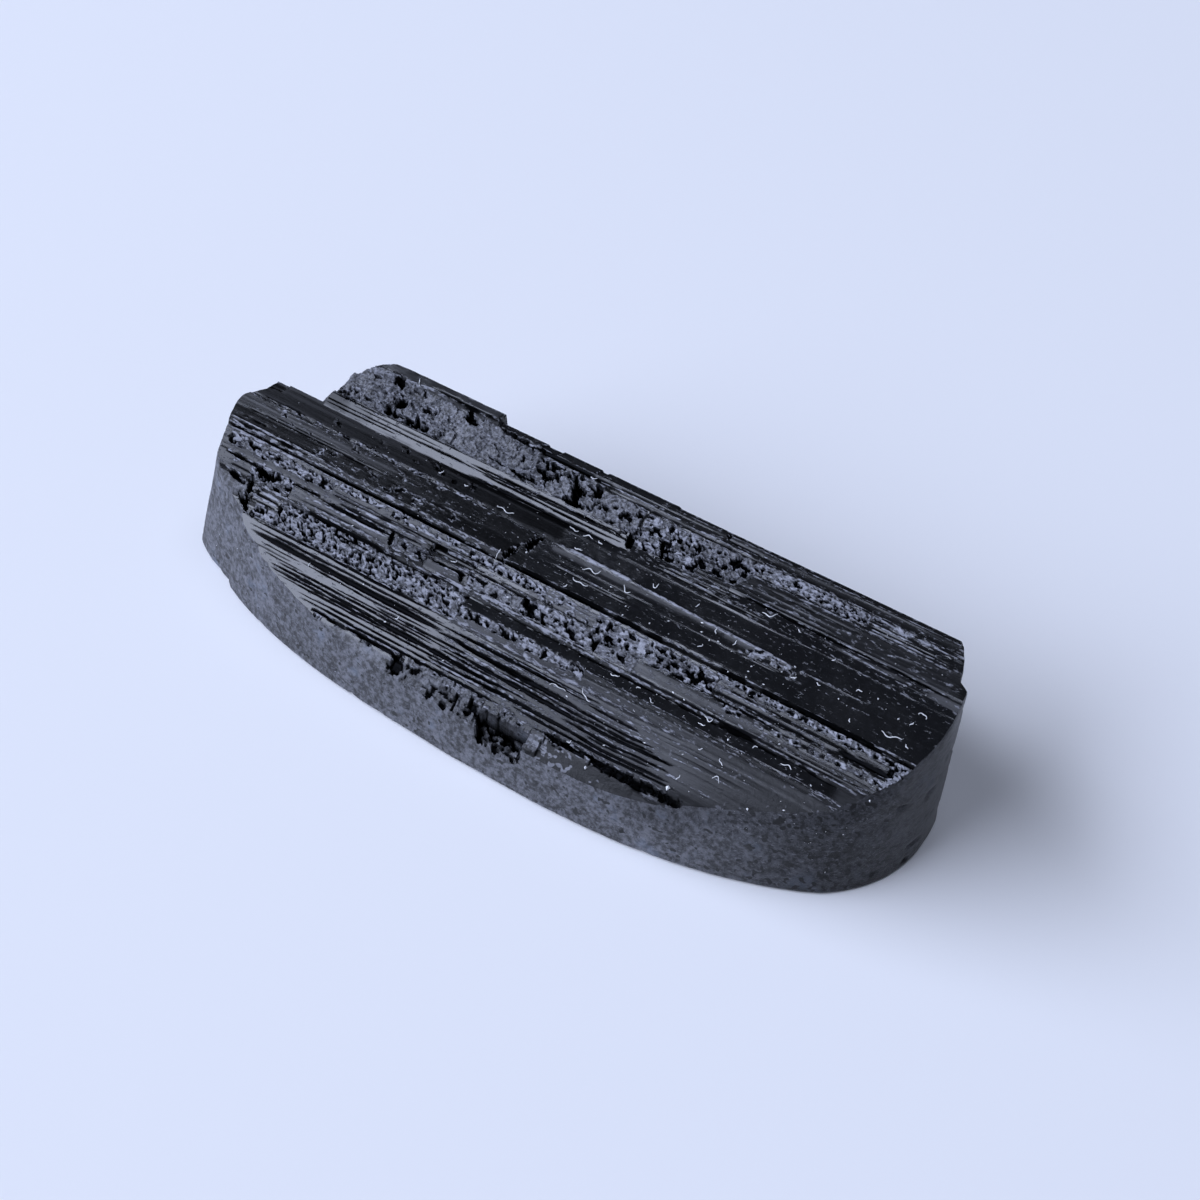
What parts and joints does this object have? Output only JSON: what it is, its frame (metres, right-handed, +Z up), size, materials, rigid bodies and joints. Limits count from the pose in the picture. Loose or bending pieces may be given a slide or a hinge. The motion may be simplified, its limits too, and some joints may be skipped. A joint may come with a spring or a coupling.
{
  "type": "tourmaline crystal",
  "caption": "Loose piece of black tourmaline: a striated, stepped and partly crumbled crystal face over ground boat-shaped sides and a flat base, for display or handling.",
  "frame": {"origin": "centre of the bounding box at the flat base that the stone rests on", "axes": "+X along the crystal's own length and its striations, towards its blunt end; +Y towards its high back edge; +Z up from the base"},
  "size_m": [0.0405, 0.016, 0.0102],
  "materials": {
    "schorl": "black vitreous stone, glossy on the striated crystal face, crumbled grey in its broken bands and matte grey where it is ground"
  },
  "bodies": {
    "root": {"tourmaline_crystal": "schorl"}
  },
  "joints": []
}
